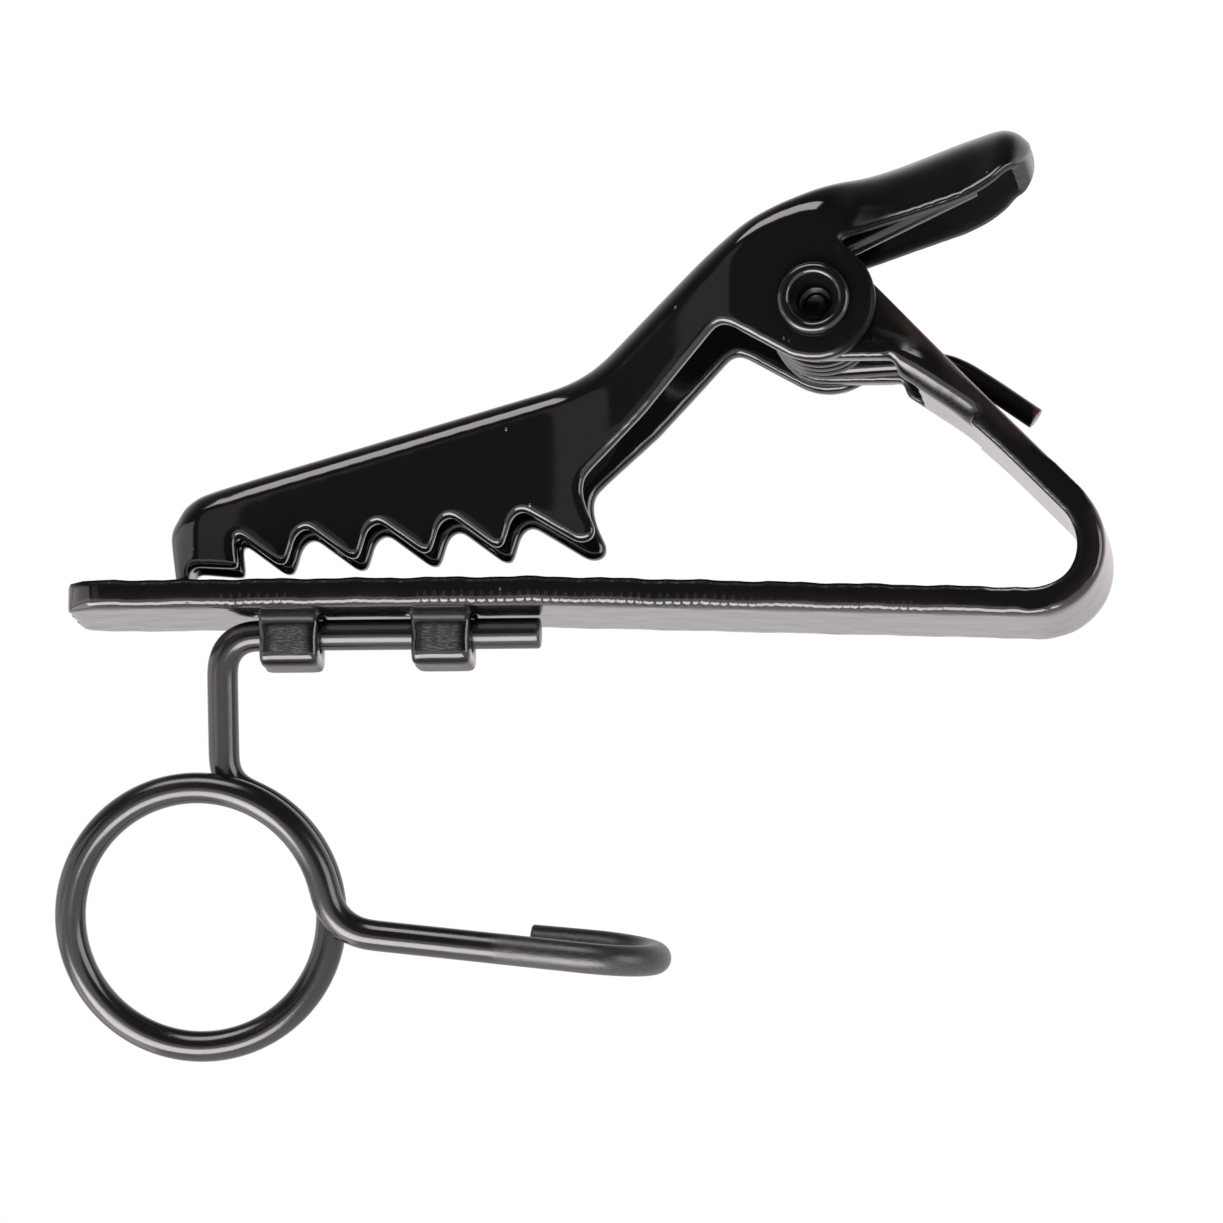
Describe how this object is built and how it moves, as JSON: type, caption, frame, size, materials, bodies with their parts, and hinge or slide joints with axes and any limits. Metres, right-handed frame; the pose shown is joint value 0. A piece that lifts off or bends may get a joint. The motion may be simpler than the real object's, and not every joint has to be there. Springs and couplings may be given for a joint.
{
  "type": "lavalier microphone clip",
  "caption": "Spring clip in black lacquered steel: a bent strip and a toothed jaw grip cloth, and a swivelling wire below them forms a ring for a lapel microphone and a hook for its cable.",
  "frame": {"origin": "on the strip's upper face, in the middle of its width, under the middle tooth of the closed jaw", "axes": "+X along the strip from the jaw's nose to the strip's bend, +Y across the strip towards the side the cable hook turns to, +Z from the strip up to the jaw"},
  "size_m": [0.041, 0.0114, 0.0357],
  "materials": {
    "black_lacquer": "glossy black lacquer on steel",
    "spring_steel": "semi-gloss black on spring steel"
  },
  "bodies": {
    "strip": {"base_strip": "black_lacquer", "pivot_rivet": "black_lacquer", "torsion_spring": "spring_steel"},
    "toothed_jaw": {"jaw": "black_lacquer"},
    "wire_holder": {"microphone_holder": "black_lacquer"}
  },
  "joints": [
    {"name": "jaw_pivot", "type": "hinge", "parent": "strip", "child": "toothed_jaw", "pos_m": [0.0152, 0, 0.0105], "axis": [0, 1, 0], "range_deg": [0, 40], "stiffness_Nm_per_rad": 0.14, "springref_deg": -20.05, "deforming": ["torsion_spring"]},
    {"name": "holder_swivel", "type": "hinge", "parent": "strip", "child": "wire_holder", "pos_m": [0, 0, -0.00175], "axis": [1, 0, 0], "range_deg": [-98, 72]}
  ]
}
